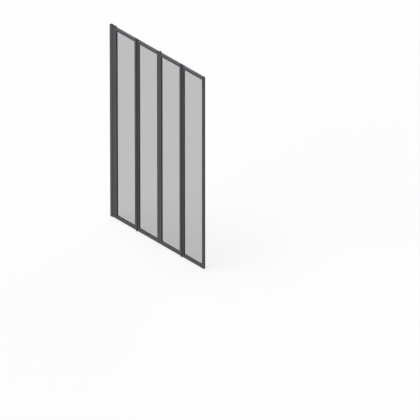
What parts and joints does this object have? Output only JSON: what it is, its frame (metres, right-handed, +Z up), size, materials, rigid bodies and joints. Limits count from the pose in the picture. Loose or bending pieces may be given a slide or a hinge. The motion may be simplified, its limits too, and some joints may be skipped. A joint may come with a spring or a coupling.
{
  "type": "folding bath screen",
  "caption": "Framed concertina bath screen that folds flat against the wall, with tinted safety glass in dark powder-coated frames and a width-adjustable wall profile.",
  "frame": {"origin": "on the wall, on the centre plane of the glass, at the level of the bath rim", "axes": "+X along the bath away from the wall, +Y into the bath, +Z up"},
  "size_m": [0.8532, 0.0274, 1.5],
  "materials": {
    "powder_coat": "anthracite satin powder coat on extruded aluminium",
    "tinted_glass": "light grey tinted toughened safety glass",
    "rubber_seal": "matt black extruded rubber",
    "cap_plastic": "fine-textured dark grey moulded plastic",
    "steel_fasteners": "plain stainless steel",
    "nylon": "dark nylon"
  },
  "bodies": {
    "wall_bracket": {"wall_channel": "powder_coat", "channel_top_cap": "cap_plastic", "channel_seal_strips": "rubber_seal"},
    "sliding_post": {"wall_post": "powder_coat", "post_end_caps": "cap_plastic", "clamp_screws": "steel_fasteners", "clamp_screw_covers": "cap_plastic", "hinge_1_pin": "steel_fasteners", "hinge_1_caps": "cap_plastic", "hinge_1_washers": "nylon"},
    "panel_1": {"panel_1_left_stile": "powder_coat", "panel_1_right_stile": "powder_coat", "panel_1_top_rail": "powder_coat", "panel_1_bottom_rail": "powder_coat", "panel_1_glass": "tinted_glass", "panel_1_gasket": "rubber_seal", "panel_1_drip_seal": "rubber_seal", "panel_1_corner_screws": "steel_fasteners", "panel_1_end_caps": "cap_plastic", "hinge_2_pin": "steel_fasteners", "hinge_2_caps": "cap_plastic", "hinge_2_washers": "nylon"},
    "panel_2": {"panel_2_left_stile": "powder_coat", "panel_2_right_stile": "powder_coat", "panel_2_top_rail": "powder_coat", "panel_2_bottom_rail": "powder_coat", "panel_2_glass": "tinted_glass", "panel_2_gasket": "rubber_seal", "panel_2_drip_seal": "rubber_seal", "panel_2_corner_screws": "steel_fasteners", "panel_2_end_caps": "cap_plastic", "hinge_3_pin": "steel_fasteners", "hinge_3_caps": "cap_plastic", "hinge_3_washers": "nylon"},
    "panel_3": {"panel_3_left_stile": "powder_coat", "panel_3_right_stile": "powder_coat", "panel_3_top_rail": "powder_coat", "panel_3_bottom_rail": "powder_coat", "panel_3_glass": "tinted_glass", "panel_3_gasket": "rubber_seal", "panel_3_drip_seal": "rubber_seal", "panel_3_corner_screws": "steel_fasteners", "panel_3_end_caps": "cap_plastic", "hinge_4_pin": "steel_fasteners", "hinge_4_caps": "cap_plastic", "hinge_4_washers": "nylon"},
    "panel_4": {"panel_4_left_stile": "powder_coat", "panel_4_free_stile": "powder_coat", "panel_4_top_rail": "powder_coat", "panel_4_bottom_rail": "powder_coat", "panel_4_glass": "tinted_glass", "panel_4_gasket": "rubber_seal", "panel_4_drip_seal": "rubber_seal", "panel_4_corner_screws": "steel_fasteners", "panel_4_end_caps": "cap_plastic", "panel_4_edge_plugs": "cap_plastic"}
  },
  "joints": [
    {"name": "width_adjust", "type": "slide", "parent": "wall_bracket", "child": "sliding_post", "axis": [1, 0, 0], "range_m": [0, 0.008]},
    {"name": "fold_1", "type": "hinge", "parent": "sliding_post", "child": "panel_1", "pos_m": [0.038, 0.0087, 0], "axis": [0, 0, 1], "range_deg": [0, 90]},
    {"name": "fold_2", "type": "hinge", "parent": "panel_1", "child": "panel_2", "pos_m": [0.244, -0.0087, 0], "axis": [0, 0, -1], "range_deg": [0, 180]},
    {"name": "fold_3", "type": "hinge", "parent": "panel_2", "child": "panel_3", "pos_m": [0.448, 0.0087, 0], "axis": [0, 0, 1], "range_deg": [0, 180]},
    {"name": "fold_4", "type": "hinge", "parent": "panel_3", "child": "panel_4", "pos_m": [0.652, -0.0087, 0], "axis": [0, 0, -1], "range_deg": [0, 180]}
  ]
}
